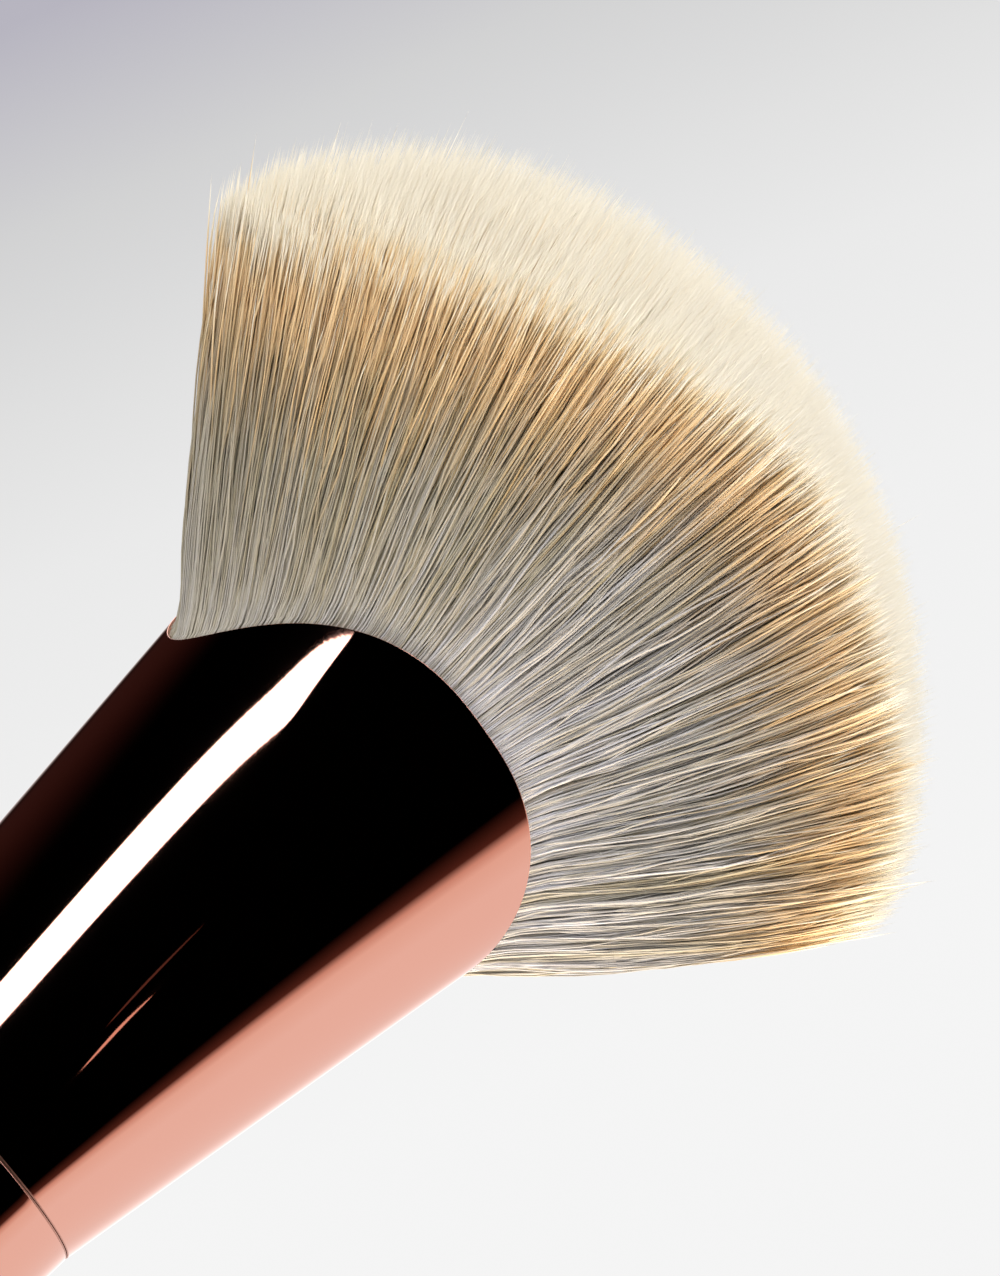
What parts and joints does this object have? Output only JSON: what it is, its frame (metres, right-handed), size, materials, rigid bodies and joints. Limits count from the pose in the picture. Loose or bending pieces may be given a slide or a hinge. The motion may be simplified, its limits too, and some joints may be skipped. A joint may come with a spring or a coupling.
{
  "type": "fan makeup brush",
  "caption": "Fan-shaped makeup brush: a wide domed tuft of soft filaments in a pinched oval metal ferrule on a slim tapered handle.",
  "frame": {"origin": "centre of the handle's flat end face", "axes": "+Z along the brush from the handle's end to the tips of the hairs, X across the width of the fan, Y through its thickness"},
  "size_m": [0.049, 0.019, 0.186],
  "materials": {
    "rose_gold": "mirror polished rose gold plating",
    "dowel_wood": "bare turned wood",
    "resin": "clear amber resin",
    "thread": "undyed thread",
    "bristle": "soft synthetic filament, grey at the root, tan and cream at the tip"
  },
  "bodies": {
    "root": {"end_cap": "rose_gold", "handle_shell": "rose_gold", "handle_core": "dowel_wood", "ferrule": "rose_gold", "resin_plug": "resin", "binding_thread": "thread", "bristles_front": "bristle", "bristles_inner_front": "bristle", "bristles_inner_back": "bristle", "bristles_back": "bristle"}
  },
  "joints": []
}
